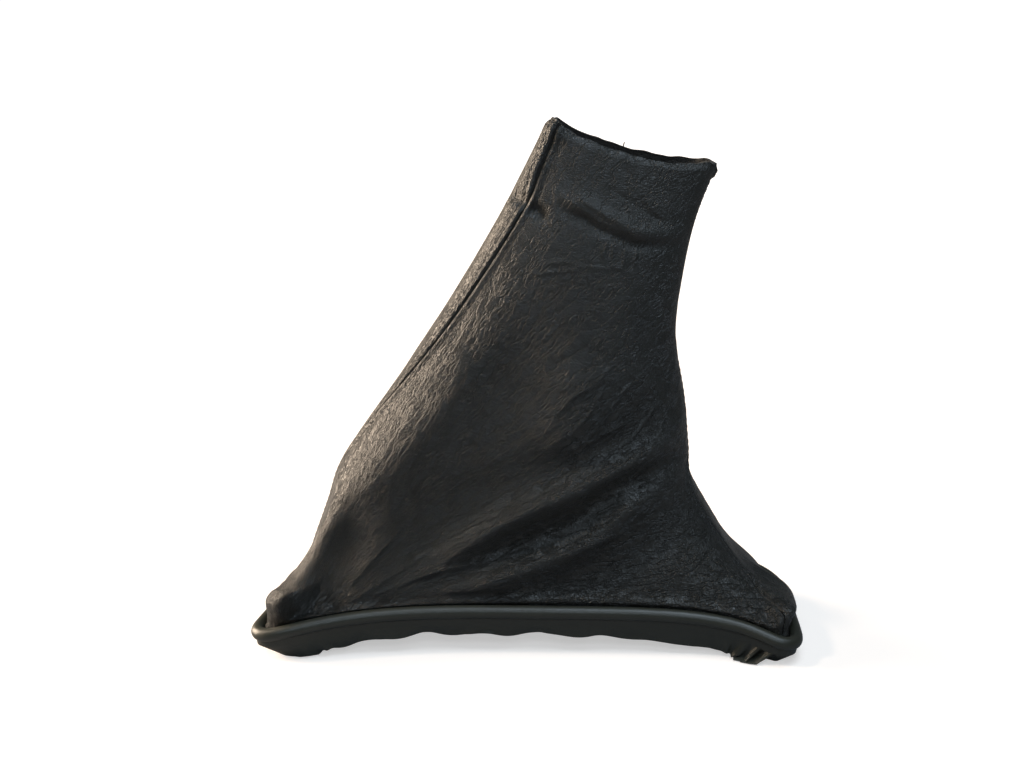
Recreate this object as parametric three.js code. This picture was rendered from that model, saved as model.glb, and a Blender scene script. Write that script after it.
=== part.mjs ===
// Leather gaiter for a handbrake lever: two sewn leather panels, a piped hem and a gathered vinyl skirt.
// Millimetres. +Z is up, +X is where the neck leans, -Y is the right side. The origin is the middle of the floor.
import * as THREE from 'three';

// Main sizes, which the sections below are shares of
const baseLength = 200;
const baseWidth = 80;
const gaiterHeight = 200;

// Material thicknesses and the clearance between pieces that touch
const leatherThickness = 1.1;
const vinylThickness = 0.7;
const touchingGap = 0.3;

// Seams down the back and the front
const seamAllowance = 8;
const trimmedAtHem = 9;
const seamDepth = 1.0;
const seamWidth = 0.55;
const ridgeHeight = 0.45;
const ridgeOffset = 1.5;
const ridgeWidth = 0.9;
const dentDepth = 0.35;
const stitchOffset = 2.9;
const dentWidth = 0.6;
const foldStart = 9;

// Piping at the hem
const cordDiameter = 3.2;
const pipingLegs = [4.6, 3.4];
const pipingSlit = 0.2;
const pipingDrop = 1.4;

// The leather rolls over the piping: [along the sides, at the right corners of the two ends]
const hemRoll = [1.8, 7.4];
const hemRollHeight = [2.6, 7.2];
const hemRollBelow = [2.4, 3.9];
const hemRollAbove = [2.4, 13];
const endStart = 0.93;
const endFull = 0.995;
const cornerStart = 0.05;
const cornerFull = 0.6;

// Skirt below the piping
const kneeShare = 0.5;
const flatShare = 0.35;
const tuckedFrom = 2.5;
const tuckedReach = 5;
const footLift = 7.2;
const gatherDepth = 1.5;
const gatherLift = 2.6;
const gatherPitch = 9;
const gatherReach = 17;
const ruffleFlare = 3.5;
const ruffleReach = 9;
const tuckStart = 0.62;
const tuckFull = 0.82;
const wavesEnd = 0.81;
const waveDepth = 0.8;
const wavePitch = 31;
const edgeWave = 0.5;
const edgeWavePitch = 19;

// Arch of the hem on [right, left], and how the front end droops
const hemArch = [6.5, 4.5];
const hemArchReach = 0.22;
const frontDroop = 2;
const droopStart = 0.8;
const bowPowers = [2.6, 6.5];
const hollowSlant = 0.75;

// Mouth of the neck
const mouthTilt = 2.6;
const mouthDip = 2.8;
const mouthStart = 0.8;

// Sections of the gaiter from the hem (rise 0) to the mouth (rise 1). back and front are [x, z] of the
// ends, as shares of half the base's length and of the height. right and left are the sides' places at
// [back, front], as shares of half the base's width. square and bow are for [right, left] and hollow,
// which is deeper towards the left side, is for [back, front].
const sections = [
  { rise: 0.00, back: [-1.03, 0.055], front: [0.985, 0.055], right: [-1.025, -1.175], left: [0.825, 0.825],
    square: [10, 3.2], bow: [0.40, 0.10], hollow: [0.055, 0.00] },
  { rise: 0.07, back: [-0.94, 0.1], front: [0.92, 0.1], right: [-0.925, -1.025], left: [0.8, 0.8],
    square: [5.5, 3.1], bow: [0.31, 0.10], hollow: [0.03, 0.00] },
  { rise: 0.14, back: [-0.87, 0.16], front: [0.8, 0.155], right: [-0.775, -0.825], left: [0.75, 0.75],
    square: [4.0, 3.0], bow: [0.18, 0.08], hollow: [0.02, 0.00] },
  { rise: 0.22, back: [-0.8, 0.24], front: [0.695, 0.235], right: [-0.675, -0.65], left: [0.675, 0.675],
    square: [3.1, 2.8], bow: [0.08, 0.04], hollow: [0.015, 0.00] },
  { rise: 0.29, back: [-0.76, 0.315], front: [0.625, 0.305], right: [-0.6, -0.575], left: [0.625, 0.6],
    square: [2.7, 2.5], bow: [0.03, 0.00], hollow: [0.025, 0.00] },
  { rise: 0.36, back: [-0.65, 0.39], front: [0.615, 0.36], right: [-0.55, -0.525], left: [0.6, 0.575],
    square: [2.5, 2.4], bow: [0.01, 0.00], hollow: [0.01, 0.00] },
  { rise: 0.47, back: [-0.485, 0.5], front: [0.597, 0.455], right: [-0.45, -0.45], left: [0.6, 0.575],
    square: [2.4, 2.4], bow: [0.00, 0.00], hollow: [0.00, 0.00] },
  { rise: 0.61, back: [-0.31, 0.63], front: [0.557, 0.58], right: [-0.325, -0.325], left: [0.575, 0.55],
    square: [2.4, 2.4], bow: [0.00, 0.00], hollow: [0.00, 0.00] },
  { rise: 0.76, back: [-0.14, 0.77], front: [0.585, 0.71], right: [-0.175, -0.175], left: [0.55, 0.525],
    square: [2.4, 2.4], bow: [0.00, 0.00], hollow: [0.00, 0.00] },
  { rise: 0.86, back: [-0.04, 0.86], front: [0.625, 0.8], right: [-0.05, -0.05], left: [0.525, 0.5],
    square: [2.5, 2.5], bow: [0.00, 0.00], hollow: [0.00, 0.00] },
  { rise: 1.00, back: [0.08, 0.975], front: [0.695, 0.895], right: [0.075, 0.075], left: [0.5, 0.5],
    square: [2.6, 2.6], bow: [0.00, 0.00], hollow: [0.00, 0.00] },
];

// Where the skirt's cut edge runs, drawn in under the two ends
const skirtFoot = { back: [-0.895, 0], front: [0.87, 0], right: [-1.0625, -1.2125], left: [0.9, 0.9],
  square: [6, 3.0], bow: [0.41, 0.065], hollow: [0.03, 0.03] };

// Where the skirt is ruffled most, at the front end's right corner, as shares like those above
const ruffleCorner = [0.82, -1];

// How far each seam is turned towards the right side, as [rise, share of the base's length]
const backSeamTurn = [[0, -0.015], [0.2, -0.015], [0.3, 0], [0.36, 0.015], [0.41, 0.0275],
  [0.51, 0.045], [0.64, 0.055], [0.84, 0.055], [0.9, 0.045], [1, 0.034]];
const frontSeamTurn = [[0, 0.1675], [0.06, 0.13], [0.11, 0.083], [0.15, 0.0575], [0.26, 0.05],
  [0.31, 0.02], [0.38, -0.01], [0.6, -0.02], [1, -0.005]];

// Folds of the leather: points as [across, rise] from the back seam to the front seam, then
// how far the fold stands out and how wide it is
const rightFolds = [
  { path: [[0.01, 0.35], [0.05, 0.28], [0.05, 0.2], [0.09, 0.1], [0.12, 0.01]], height: 2.4, width: 4.5 },
  { path: [[0.12, 0.55], [0.15, 0.45], [0.17, 0.34], [0.16, 0.2], [0.18, 0.05]], height: -2.6, width: 10 },
  { path: [[0.92, 0.41], [0.8, 0.345], [0.69, 0.29], [0.57, 0.25], [0.43, 0.19], [0.31, 0.11]],
    height: 2.6, width: 6 },
  { path: [[0.97, 0.3], [0.86, 0.26], [0.75, 0.21], [0.66, 0.175], [0.5, 0.11], [0.37, 0.03]],
    height: 2.6, width: 6 },
  { path: [[0.97, 0.35], [0.84, 0.3], [0.71, 0.24], [0.58, 0.205], [0.42, 0.15]], height: -2, width: 5.5 },
  { path: [[0.9, 0.49], [0.76, 0.41], [0.6, 0.34], [0.45, 0.28], [0.34, 0.2]], height: -2, width: 9 },
  { path: [[0.95, 0.22], [0.85, 0.18], [0.74, 0.13], [0.6, 0.09]], height: -1.8, width: 7 },
  { path: [[0.12, 0.87], [0.3, 0.84], [0.55, 0.82], [0.95, 0.825]], height: -0.7, width: 3 },
];
const leftFolds = [
  { path: [[0.12, 0.34], [0.3, 0.27], [0.45, 0.19], [0.6, 0.08]], height: 2.4, width: 7 },
  { path: [[0.1, 0.25], [0.25, 0.18], [0.38, 0.08]], height: 1.2, width: 7 },
  { path: [[0.9, 0.45], [0.82, 0.3], [0.78, 0.12]], height: -2.2, width: 11 },
  { path: [[0.95, 0.3], [0.9, 0.16], [0.86, 0.02]], height: 2.0, width: 5 },
];

// Fineness of the mesh
const ringSamples = 720;
const seamColumns = [touchingGap / 2, 0.7, ridgeOffset, stitchOffset, 4.4, seamAllowance - 0.3];
const rightColumns = 20;
const leftColumns = 18;
const pipingStations = 52;
const skirtStations = 96;
const rowRises = [0.006, 0.014, 0.03, 0.055, 0.085, 0.115, 0.145, 0.175, 0.205, 0.235, 0.265, 0.295,
  0.33, 0.37, 0.41, 0.46, 0.52, 0.59, 0.66, 0.73, 0.79, 0.83, 0.87, 0.93, 1];

const leatherMaterial = new THREE.MeshStandardMaterial({ color: 0x26292b, roughness: 0.55, metalness: 0 });
const vinylMaterial = new THREE.MeshStandardMaterial({ color: 0x2c2f2a, roughness: 0.42, metalness: 0 });
const cordMaterial = new THREE.MeshStandardMaterial({ color: 0xc9c4b6, roughness: 0.9, metalness: 0 });

const mix = THREE.MathUtils.lerp;
const clamp = THREE.MathUtils.clamp;
const upward = new THREE.Vector3(0, 0, 1);

// Smooth curve through the values of a table whose rows are [place, value]
function curveThrough(table, place) {
  const last = table.length - 1;
  const at = clamp(place, table[0][0], table[last][0]);
  let i = 0;
  while (i < last - 1 && at > table[i + 1][0]) i += 1;
  const slope = (k) => {
    const before = table[Math.max(k - 1, 0)];
    const after = table[Math.min(k + 1, last)];
    return (after[1] - before[1]) / (after[0] - before[0]);
  };
  const step = table[i + 1][0] - table[i][0];
  const t = (at - table[i][0]) / step;
  const t2 = t * t;
  const t3 = t2 * t;
  return (2 * t3 - 3 * t2 + 1) * table[i][1] + (t3 - 2 * t2 + t) * step * slope(i)
    + (3 * t2 - 2 * t3) * table[i + 1][1] + (t3 - t2) * step * slope(i + 1);
}

// A section with its shares turned into millimetres
function sized(section) {
  const ends = ([x, z]) => [x * baseLength / 2, z * gaiterHeight];
  const sides = (shares) => shares.map((y) => y * baseWidth / 2);
  return {
    ...section,
    back: ends(section.back),
    front: ends(section.front),
    right: sides(section.right),
    left: sides(section.left),
  };
}

function sectionAt(rise) {
  const section = {};
  for (const key of ['back', 'front', 'right', 'left', 'square', 'bow', 'hollow']) {
    section[key] = [0, 1].map((k) => curveThrough(sections.map((s) => [s.rise, s[key][k]]), rise));
  }
  return sized(section);
}

// A point of one section's outline: angle 0 is the back end and a half turn is the front end
function outlinePoint(section, angle) {
  const c = Math.cos(angle);
  const s = Math.sin(angle);
  const side = s > 0 ? 0 : 1;
  const end = c > 0 ? 0 : 1;
  const power = section.square[side];
  const radius = (Math.abs(c) ** power + Math.abs(s) ** power) ** (-1 / power);
  const along = -radius * c;
  const aside = -radius * s;
  const bowPower = bowPowers[end];
  const hollowed = section.hollow[end] * (1 - aside * aside + hollowSlant * (1 + aside));
  const t = (along * (1 - hollowed) + 1) / 2;
  const right = mix(section.right[0], section.right[1], t);
  const left = mix(section.left[0], section.left[1], t);
  const depth = aside * (1 - section.bow[side] * (1 - Math.abs(along) ** bowPower));
  const point = new THREE.Vector3(
    mix(section.back[0], section.front[0], t),
    (right + left) / 2 + (left - right) / 2 * depth,
    mix(section.back[1], section.front[1], t),
  );
  return { point, along, aside, side };
}

// The leather's outer surface without folds or seams
function bodyPoint(section, rise, angle) {
  const { point, along, aside, side } = outlinePoint(section, angle);
  const atHem = clamp(1 - rise / hemArchReach, 0, 1) ** 1.5;
  const atMouth = clamp((rise - mouthStart) / (1 - mouthStart), 0, 1);
  const corner = clamp((along - droopStart) / (1 - droopStart), 0, 1);
  point.z += atHem * (hemArch[side] * (1 - along ** 4) * aside * aside - frontDroop * corner * corner);
  point.z -= atMouth * (mouthTilt * aside + mouthDip * (1 - along * along));
  return point;
}

function measuredRing(pointAt) {
  const points = [];
  for (let i = 0; i <= ringSamples; i += 1) points.push(pointAt(i / ringSamples * 2 * Math.PI));
  const lengths = [0];
  for (let i = 1; i <= ringSamples; i += 1) lengths.push(lengths[i - 1] + points[i].distanceTo(points[i - 1]));
  return { points, lengths, total: lengths[ringSamples], half: lengths[ringSamples / 2] };
}

const ringStore = new Map();
function ringAt(rise) {
  if (!ringStore.has(rise)) {
    const section = sectionAt(rise);
    ringStore.set(rise, measuredRing((angle) => bodyPoint(section, rise, angle)));
  }
  return ringStore.get(rise);
}

function pointOnRing(ring, distance) {
  const d = ((distance % ring.total) + ring.total) % ring.total;
  let low = 0;
  let high = ringSamples;
  while (high - low > 1) {
    const middle = (low + high) >> 1;
    if (ring.lengths[middle] <= d) low = middle;
    else high = middle;
  }
  const t = (d - ring.lengths[low]) / (ring.lengths[high] - ring.lengths[low]);
  return ring.points[low].clone().lerp(ring.points[high], t);
}

function directionOnRing(ring, distance) {
  const reach = 0.8;
  return pointOnRing(ring, distance + reach).sub(pointOnRing(ring, distance - reach)).normalize();
}

// Places along a ring, closer together where it turns
function spreadAlong(ring, from, to, count) {
  const turnWeight = 17;
  const step = 0.5;
  const marks = [[from, 0]];
  let before = directionOnRing(ring, from);
  let sum = 0;
  for (let d = from + step; d < to + step; d += step) {
    const here = directionOnRing(ring, Math.min(d, to));
    sum += step + turnWeight * before.angleTo(here);
    marks.push([Math.min(d, to), sum]);
    before = here;
  }
  const places = [];
  let k = 0;
  for (let i = 0; i <= count; i += 1) {
    const wanted = sum * i / count;
    while (k < marks.length - 2 && marks[k + 1][1] < wanted) k += 1;
    const t = clamp((wanted - marks[k][1]) / (marks[k + 1][1] - marks[k][1]), 0, 1);
    places.push(mix(marks[k][0], marks[k + 1][0], t));
  }
  return places;
}

// Ends of a panel along a ring: the right panel runs from the back seam to the front seam
function panelEnds(side, ring, rise) {
  const backSeam = curveThrough(backSeamTurn, rise) * baseLength;
  const frontSeam = ring.half - curveThrough(frontSeamTurn, rise) * baseLength;
  return side === 'right' ? [backSeam, frontSeam] : [frontSeam, ring.total + backSeam];
}

// A column of a panel is a place between its seams, or a fixed distance from one of them
function columnDistance(side, column, rise) {
  const ring = ringAt(rise);
  const [start, end] = panelEnds(side, ring, rise);
  if (column.fromStart !== undefined) return start + column.fromStart;
  if (column.fromEnd !== undefined) return end - column.fromEnd;
  return mix(start + seamAllowance, end - seamAllowance, column.across);
}

function surfaceNormal(side, column, rise) {
  const seamLine = { ...column };
  if (column.edge && column.fromStart !== undefined) seamLine.fromStart = 0;
  if (column.edge && column.fromEnd !== undefined) seamLine.fromEnd = 0;
  const step = 0.006;
  const lower = Math.max(rise - step, 0);
  const upper = Math.min(rise + step, 1);
  const rising = pointOnRing(ringAt(upper), columnDistance(side, seamLine, upper))
    .sub(pointOnRing(ringAt(lower), columnDistance(side, seamLine, lower)));
  return directionOnRing(ringAt(rise), columnDistance(side, seamLine, rise)).cross(rising).normalize();
}

// Folds as lines on the surface, with the distance of a point to the nearest one
function foldLines(side, folds) {
  return folds.map(({ path, height, width }) => {
    const line = new THREE.CatmullRomCurve3(path.map(([across, rise]) => (
      pointOnRing(ringAt(rise), columnDistance(side, { across }, rise)))));
    return { points: line.getPoints(40), height, width };
  });
}

function foldHeight(lines, point) {
  let sum = 0;
  for (const { points, height, width } of lines) {
    let nearest = Infinity;
    let at = 0;
    points.forEach((p, i) => {
      const distance = p.distanceToSquared(point);
      if (distance < nearest) {
        nearest = distance;
        at = i / (points.length - 1);
      }
    });
    const fade = Math.min(1, 4 * at + 0.25, 4 * (1 - at) + 0.25);
    sum += height * fade * Math.exp(-nearest / (width * width));
  }
  return sum;
}

// How the leather rises and sinks beside a seam
function seamHeight(distance) {
  const bell = (centre, width) => Math.exp(-(((distance - centre) / width) ** 2));
  return ridgeHeight * bell(ridgeOffset, ridgeWidth) - seamDepth * bell(0, seamWidth)
    - dentDepth * bell(stitchOffset, dentWidth);
}

function panelColumns(side, count) {
  const ring = ringAt(0);
  const [start, end] = panelEnds(side, ring, 0);
  const inner = spreadAlong(ring, start + seamAllowance, end - seamAllowance, count)
    .map((d) => ({ across: (d - start - seamAllowance) / (end - start - 2 * seamAllowance) }));
  const first = seamColumns.map((d, i) => ({ fromStart: d, edge: i === 0, folded: true }));
  const last = seamColumns.map((d, i) => ({ fromEnd: d, edge: i === 0, folded: true })).reverse();
  return [...first, ...inner, ...last];
}

// How far a place on the hem belongs to the back or front end
function endShare(hem) {
  return THREE.MathUtils.smoothstep(Math.abs(hem.x) / (sectionAt(0).front[0]), endStart, endFull);
}

function legsAt(hem) {
  return mix(pipingLegs[0], pipingLegs[1], endShare(hem));
}

// How far the leather rolls out over the piping, at a distance above the hem
function rollAt(hem, above) {
  const share = endShare(hem) * THREE.MathUtils.smoothstep(-hem.y / (baseWidth / 2), cornerStart, cornerFull);
  const [depth, height, below, over] = [hemRoll, hemRollHeight, hemRollBelow, hemRollAbove]
    .map(([side, end]) => mix(side, end, share));
  return depth * Math.exp(-(((above - height) / (above < height ? below : over)) ** 2));
}

// One leather panel. Its allowances are turned back behind both seams, trimmed short of the hem,
// and its lower edge runs down behind the piping
function panelGeometry(side, count, folds) {
  const columns = panelColumns(side, count);
  const lines = foldLines(side, folds);
  const rows = [{ rise: 0, drop: 1 }, { rise: 0, drop: 0.4 }, { rise: 0, drop: 0 },
    ...rowRises.map((rise) => ({ rise }))];
  const outer = [];
  const inner = [];
  for (const row of rows) {
    const atHem = row.drop !== undefined;
    outer.push([]);
    inner.push([]);
    for (const column of columns) {
      const distance = columnDistance(side, column, row.rise);
      const point = pointOnRing(ringAt(row.rise), distance);
      const normal = surfaceNormal(side, column, row.rise);
      if (atHem) {
        normal.copy(directionOnRing(ringAt(0), distance)).cross(upward).normalize();
        point.z -= row.drop * (legsAt(point) + pipingDrop);
      }
      const hem = pointOnRing(ringAt(0), columnDistance(side, column, 0));
      const above = point.distanceTo(hem);
      const fold = atHem ? 0 : foldHeight(lines, point) * clamp(above / foldStart, 0, 1) + rollAt(hem, above);
      const beside = Math.min(column.fromStart ?? seamAllowance, column.fromEnd ?? seamAllowance);
      const layers = column.folded && above > trimmedAtHem && !atHem ? 2 : 1;
      outer.at(-1).push(point.clone().addScaledVector(normal, fold + seamHeight(beside) * (atHem ? 0 : 1)));
      inner.at(-1).push(point.clone().addScaledVector(normal, fold - layers * leatherThickness));
    }
  }
  return walledGeometry(outer, inner);
}

function geometryFrom(points, faces) {
  const geometry = new THREE.BufferGeometry();
  geometry.setAttribute('position', new THREE.Float32BufferAttribute(points.flatMap((p) => [p.x, p.y, p.z]), 3));
  geometry.setIndex(faces.flat());
  geometry.computeVertexNormals();
  return geometry;
}

// A closed wall between two grids of points, with its four edges
function walledGeometry(outer, inner) {
  const rows = outer.length;
  const columns = outer[0].length;
  const points = [...outer.flat(), ...inner.flat()];
  const out = (r, c) => r * columns + c;
  const back = (r, c) => rows * columns + r * columns + c;
  const faces = [];
  const quad = (a, b, c, d) => faces.push([a, b, c], [a, c, d]);
  for (let r = 0; r < rows - 1; r += 1) {
    for (let c = 0; c < columns - 1; c += 1) {
      quad(out(r, c), out(r, c + 1), out(r + 1, c + 1), out(r + 1, c));
      quad(back(r, c), back(r + 1, c), back(r + 1, c + 1), back(r, c + 1));
    }
    quad(out(r, 0), out(r + 1, 0), back(r + 1, 0), back(r, 0));
    quad(out(r, columns - 1), back(r, columns - 1), back(r + 1, columns - 1), out(r + 1, columns - 1));
  }
  for (let c = 0; c < columns - 1; c += 1) {
    quad(out(0, c), back(0, c), back(0, c + 1), out(0, c + 1));
    quad(out(rows - 1, c), out(rows - 1, c + 1), back(rows - 1, c + 1), back(rows - 1, c));
  }
  return geometryFrom(points, faces);
}

// A strip with the same outline all along, closed at its two ends
function stripGeometry(outlines, flatOutline) {
  const count = flatOutline.length;
  const faces = [];
  for (let i = 0; i < outlines.length - 1; i += 1) {
    for (let k = 0; k < count; k += 1) {
      const next = (k + 1) % count;
      const a = i * count + k;
      const b = i * count + next;
      faces.push([a, a + count, b], [b, a + count, b + count]);
    }
  }
  const last = (outlines.length - 1) * count;
  for (const [a, b, c] of THREE.ShapeUtils.triangulateShape(flatOutline, [])) {
    faces.push([a, b, c], [last + a, last + c, last + b]);
  }
  return geometryFrom(outlines.flat(), faces);
}

const coverRadius = cordDiameter / 2 + touchingGap + vinylThickness;
const beadOffset = touchingGap + coverRadius;

function arcPoints(radius, fromDegrees, toDegrees, steps) {
  const points = [];
  for (let i = 0; i <= steps; i += 1) {
    const angle = THREE.MathUtils.degToRad(mix(fromDegrees, toDegrees, i / steps));
    points.push(new THREE.Vector2(beadOffset + radius * Math.cos(angle), radius * Math.sin(angle)));
  }
  return points;
}

// Section of the piping's cover, as [outward, up] from the leather's hem and the cord's middle:
// it wraps the cord and hangs down as two legs
function coverOutline(legs) {
  const innerRadius = coverRadius - vinylThickness;
  const slitStart = touchingGap + vinylThickness;
  const outerLeg = slitStart + pipingSlit;
  const outerFace = outerLeg + vinylThickness;
  const degrees = (x, radius) => THREE.MathUtils.radToDeg(Math.acos((x - beadOffset) / radius));
  return [
    new THREE.Vector2(touchingGap, -legs),
    ...arcPoints(coverRadius, 180, -degrees(outerFace, coverRadius), 9),
    new THREE.Vector2(outerFace, -legs),
    new THREE.Vector2(outerLeg, -legs),
    ...arcPoints(innerRadius, -degrees(outerLeg, innerRadius), 180, 7),
    new THREE.Vector2(slitStart, -legs),
  ].reverse();
}

function cordOutline() {
  return arcPoints(cordDiameter / 2, 0, 315, 7);
}

// Stations along the hem, which start and end at a butt joint in the middle of the left side
function hemStations(count) {
  const ring = ringAt(0);
  const joint = ring.half * 1.5;
  return spreadAlong(ring, joint + touchingGap / 2, joint + ring.total - touchingGap / 2, count);
}

function alongHem(distance, outline) {
  const ring = ringAt(0);
  const hem = pointOnRing(ring, distance);
  const outward = directionOnRing(ring, distance).cross(upward).normalize();
  return outline.map((p) => hem.clone().addScaledVector(outward, p.x).addScaledVector(upward, p.y - pipingDrop));
}

function pipingGeometry(outlineWith) {
  const outlines = hemStations(pipingStations)
    .map((d) => alongHem(d, outlineWith(legsAt(pointOnRing(ringAt(0), d)))));
  return stripGeometry(outlines, outlineWith(pipingLegs[0]));
}

const foot = sized(skirtFoot);
const footRing = measuredRing((angle) => outlinePoint(foot, angle).point);
const footCorners = [[0, 'right'], [0, 'left'], [1, 'right'], [1, 'left']].map(([end, side]) => (
  new THREE.Vector2([foot.back, foot.front][end][0], foot[side][end])));
const ruffleMiddle = new THREE.Vector2(ruffleCorner[0] * baseLength / 2, ruffleCorner[1] * baseWidth / 2);

function footDistance(hemDistance) {
  const ring = ringAt(0);
  const d = ((hemDistance % ring.total) + ring.total) % ring.total;
  if (d < ring.half) return d / ring.half * footRing.half;
  return footRing.half + (d - ring.half) / (ring.total - ring.half) * (footRing.total - footRing.half);
}

// The skirt's cut edge below a point of its fold: it hangs in waves along the sides, is gathered
// at the corners, flares a little at one of them and is turned under at the two ends
function footPoint(hemDistance, laneEnd) {
  const distance = footDistance(hemDistance);
  const point = pointOnRing(footRing, distance);
  const outward = directionOnRing(footRing, distance).cross(upward).normalize();
  const near = Math.min(...footCorners.map((corner) => Math.hypot(corner.x - point.x, corner.y - point.y)));
  const gathered = Math.exp(-((near / gatherReach) ** 2));
  const fromRuffle = Math.hypot(ruffleMiddle.x - point.x, ruffleMiddle.y - point.y);
  const ruffled = Math.exp(-((fromRuffle / ruffleReach) ** 2));
  const along = Math.abs(point.x) / (baseLength / 2);
  const tuck = THREE.MathUtils.smoothstep(along, tuckStart, tuckFull);
  const side = clamp(1 - (along / wavesEnd) ** 2, 0, 1);
  const phase = Math.cos(distance / gatherPitch * 2 * Math.PI);
  point.lerp(laneEnd, 1 - tuck);
  point.addScaledVector(outward, waveDepth * side * Math.sin(distance / wavePitch * 2 * Math.PI));
  point.addScaledVector(outward, gatherDepth * gathered * phase + ruffleFlare * ruffled);
  point.z = footLift * side + gatherLift * gathered * side * (1 - phase);
  point.z += edgeWave * side * Math.sin(distance / edgeWavePitch * 2 * Math.PI);
  return point;
}

// The skirt hangs from a folded top edge below the piping
function skirtGeometry() {
  const outlines = hemStations(skirtStations).map((d) => {
    const around = directionOnRing(ringAt(0), d);
    const lane = touchingGap + 2 * vinylThickness + pipingSlit + touchingGap + 1.5 * vinylThickness;
    const top = -coverRadius - touchingGap;
    const foldEnd = -legsAt(pointOnRing(ringAt(0), d)) - touchingGap - vinylThickness;
    const [a, b, c] = alongHem(d, [[lane, top], [lane, foldEnd + vinylThickness], [lane, foldEnd]]
      .map(([x, y]) => new THREE.Vector2(x, y)));
    const edge = footPoint(d, c);
    const tucked = clamp((Math.hypot(edge.x - c.x, edge.y - c.y) - tuckedFrom) / tuckedReach, 0, 1);
    edge.z = Math.min(edge.z, c.z - 1) + tucked * vinylThickness / 2;
    const knee = c.clone().lerp(edge, kneeShare);
    knee.z = mix(knee.z, edge.z, tucked);
    const flat = knee.clone().lerp(edge, flatShare);
    const chain = [a, b, c, knee, flat, edge];
    const layers = [2, 2, 1, 1, 1, 1];
    const outside = [];
    const inside = [];
    chain.forEach((p, i) => {
      const upSlope = chain[Math.max(i - 1, 0)].clone().sub(chain[Math.min(i + 1, 5)]);
      const normal = around.clone().cross(upSlope).normalize();
      outside.push(p.clone().addScaledVector(normal, vinylThickness / 2));
      inside.push(p.clone().addScaledVector(normal, vinylThickness * (0.5 - layers[i])));
    });
    const outline = [...inside, ...outside.reverse()];
    for (const p of outline) p.z = Math.max(p.z, 0);
    return outline;
  });
  const flat = outlines[0].map((p) => {
    const outward = directionOnRing(ringAt(0), hemStations(skirtStations)[0]).cross(upward).normalize();
    return new THREE.Vector2(p.dot(outward), p.z);
  });
  return stripGeometry(outlines, flat);
}

function piece(name, geometry, material) {
  const mesh = new THREE.Mesh(geometry, material);
  mesh.name = name;
  return mesh;
}

const gaiter = new THREE.Group();
gaiter.add(
  piece('right_panel', panelGeometry('right', rightColumns, rightFolds), leatherMaterial),
  piece('left_panel', panelGeometry('left', leftColumns, leftFolds), leatherMaterial),
  piece('piping_cover', pipingGeometry(coverOutline), vinylMaterial),
  piece('piping_cord', pipingGeometry(cordOutline), cordMaterial),
  piece('hem_skirt', skirtGeometry(), vinylMaterial),
);

const bounds = new THREE.Box3().setFromObject(gaiter, true);
const middle = bounds.getCenter(new THREE.Vector3());
gaiter.position.set(-middle.x, -middle.y, -bounds.min.z);

export default gaiter;
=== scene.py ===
# Black leather gaiter for a handbrake lever, standing on a pale floor in soft studio light.
# Shapes are worked out in millimetres on the same surface as the solids, and made in metres.
import math

import bpy
import numpy as np
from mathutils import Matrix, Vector, noise


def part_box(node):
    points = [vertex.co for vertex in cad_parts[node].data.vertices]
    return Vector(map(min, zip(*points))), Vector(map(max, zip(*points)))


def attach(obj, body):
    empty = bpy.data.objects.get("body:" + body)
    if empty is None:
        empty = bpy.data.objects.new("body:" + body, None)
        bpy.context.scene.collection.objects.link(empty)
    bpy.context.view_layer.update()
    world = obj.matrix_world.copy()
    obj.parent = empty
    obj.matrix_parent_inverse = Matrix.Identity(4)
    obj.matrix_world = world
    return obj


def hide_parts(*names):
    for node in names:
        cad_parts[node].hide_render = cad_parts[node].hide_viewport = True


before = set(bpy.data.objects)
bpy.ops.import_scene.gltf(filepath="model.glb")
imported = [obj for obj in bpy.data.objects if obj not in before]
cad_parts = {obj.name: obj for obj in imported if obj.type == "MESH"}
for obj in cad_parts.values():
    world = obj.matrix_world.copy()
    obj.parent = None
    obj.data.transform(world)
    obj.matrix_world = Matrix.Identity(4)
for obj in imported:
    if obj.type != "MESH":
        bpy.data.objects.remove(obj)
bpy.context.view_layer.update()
millimetre = 0.001

# What a user would change: the whole gaiter, in millimetres, then its leather. hemRoll's pairs are for
# (the sides, the right corners of the ends), hemArch's for (right, left), foldStart's for (ridges, grooves)
# and rimRoll's and rimTab's are (height, reach). cuts holds each flat size and area in metres.
gaiter = {"baseLength": 200, "baseWidth": 80, "height": 200}
leather = {
    "thickness": 1.1, "gap": 0.3, "allowance": 8, "trimmed": 9,
    "seamDepth": 0.95, "seamWidth": 0.42, "seamRidge": 0.3, "ridgeOffset": 1.4, "ridgeWidth": 0.8,
    "stitchOffset": 2.9, "stitchDent": 0.35, "dentWidth": 0.55,
    "hemRoll": (1.8, 7.4), "hemRollHeight": (2.6, 7.2), "hemRollWidth": (2.4, 3.9),
    "hemRollReach": (2.4, 13),
    "ends": (0.93, 0.995), "corners": (0.05, 0.6), "hollowSlant": 0.75, "bowPowers": (2.6, 6.5),
    "hemArch": (6.5, 4.5), "hemArchReach": 0.22, "frontDroop": 2, "foldStart": (9, 5),
    "fanMiddle": (-92, 4), "fanReach": 100,
    "creases": ((40, 9, 0.16), (16, 3.6, 0.18), (8, 1.9, 0.12)),
    "creased": ((42, 78), (46, 50)), "neckStart": 0.62,
    "mouthTilt": 0.3, "mouthDip": 3.9, "mouthLift": (2.8, 1.2), "mouthRound": 1.6,
    "rimWave": 0.5, "rimRoll": (1.1, 4.5), "rimTab": (1.3, 2.6), "rimCurl": 1.3,
    "cuts": {"right": ((0.248, 0.221), 0.0282), "left": ((0.279, 0.22), 0.0307)},
}

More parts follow.
